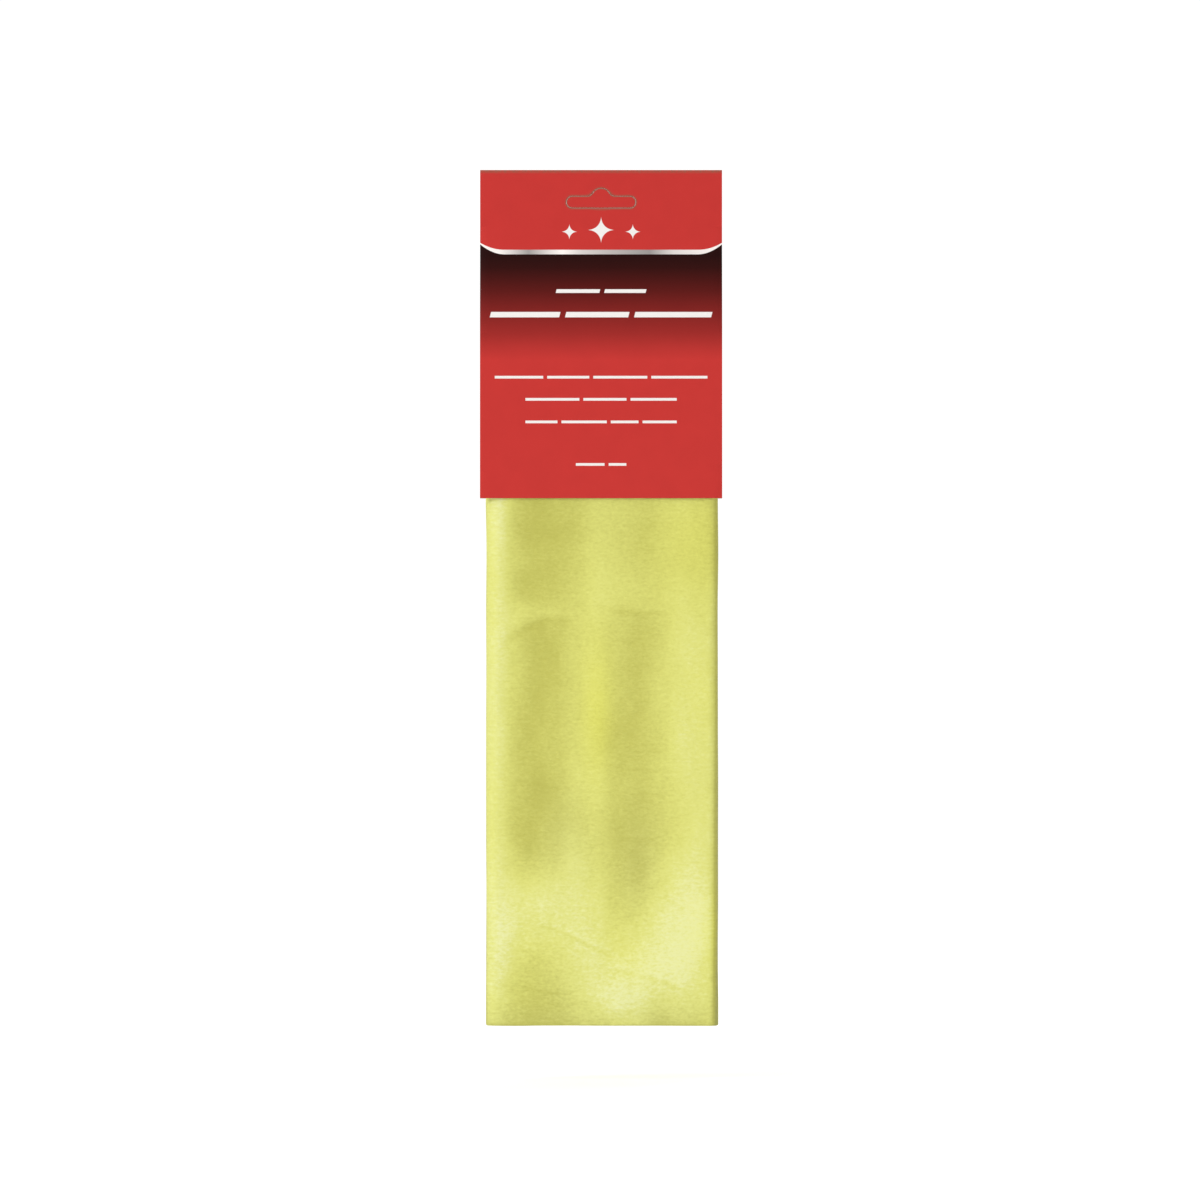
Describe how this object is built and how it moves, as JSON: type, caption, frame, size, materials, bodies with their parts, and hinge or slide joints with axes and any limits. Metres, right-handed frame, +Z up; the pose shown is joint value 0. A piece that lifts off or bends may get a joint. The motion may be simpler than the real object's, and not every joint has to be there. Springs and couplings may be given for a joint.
{
  "type": "packed chamois leather",
  "caption": "Flat pack of folded yellow chamois leather hanging from a creased red header card with a die-cut hang slot and free ends that lift.",
  "frame": {"origin": "bearing point of the hang slot: the top of its raised middle, midway between the card's two layers", "axes": "+Z up as the pack hangs, the printed front faces -Y, +X to the right seen from the front"},
  "size_m": [0.1106, 0.0138, 0.3909],
  "materials": {
    "printed_card": "coated board printed red, with a dark band and a silver stripe on the front",
    "chamois_leather": "soft sueded nap, pale greenish yellow",
    "clear_tape": "thin double-sided tape"
  },
  "bodies": {
    "pack": {"card_saddle": "printed_card", "chamois": "chamois_leather", "front_tape": "clear_tape", "back_tape": "clear_tape", "tab_tape": "clear_tape"},
    "front_end": {"front_flap": "printed_card"},
    "back_end": {"back_flap": "printed_card"},
    "slot_pieces": {"front_knockout": "printed_card", "back_knockout": "printed_card"}
  },
  "joints": [
    {"name": "front_lift", "type": "hinge", "parent": "pack", "child": "front_end", "pos_m": [0, -0.00662, -0.07895], "axis": [-1, 0, 0], "range_deg": [0, 45], "stiffness_Nm_per_rad": 0.02},
    {"name": "back_lift", "type": "hinge", "parent": "pack", "child": "back_end", "pos_m": [0, 0.00662, -0.07895], "axis": [1, 0, 0], "range_deg": [0, 45], "stiffness_Nm_per_rad": 0.02},
    {"name": "slot_push", "type": "hinge", "parent": "pack", "child": "slot_pieces", "pos_m": [0, 0.00065, -0.00935], "axis": [-1, 0, 0], "range_deg": [0, 100]}
  ]
}
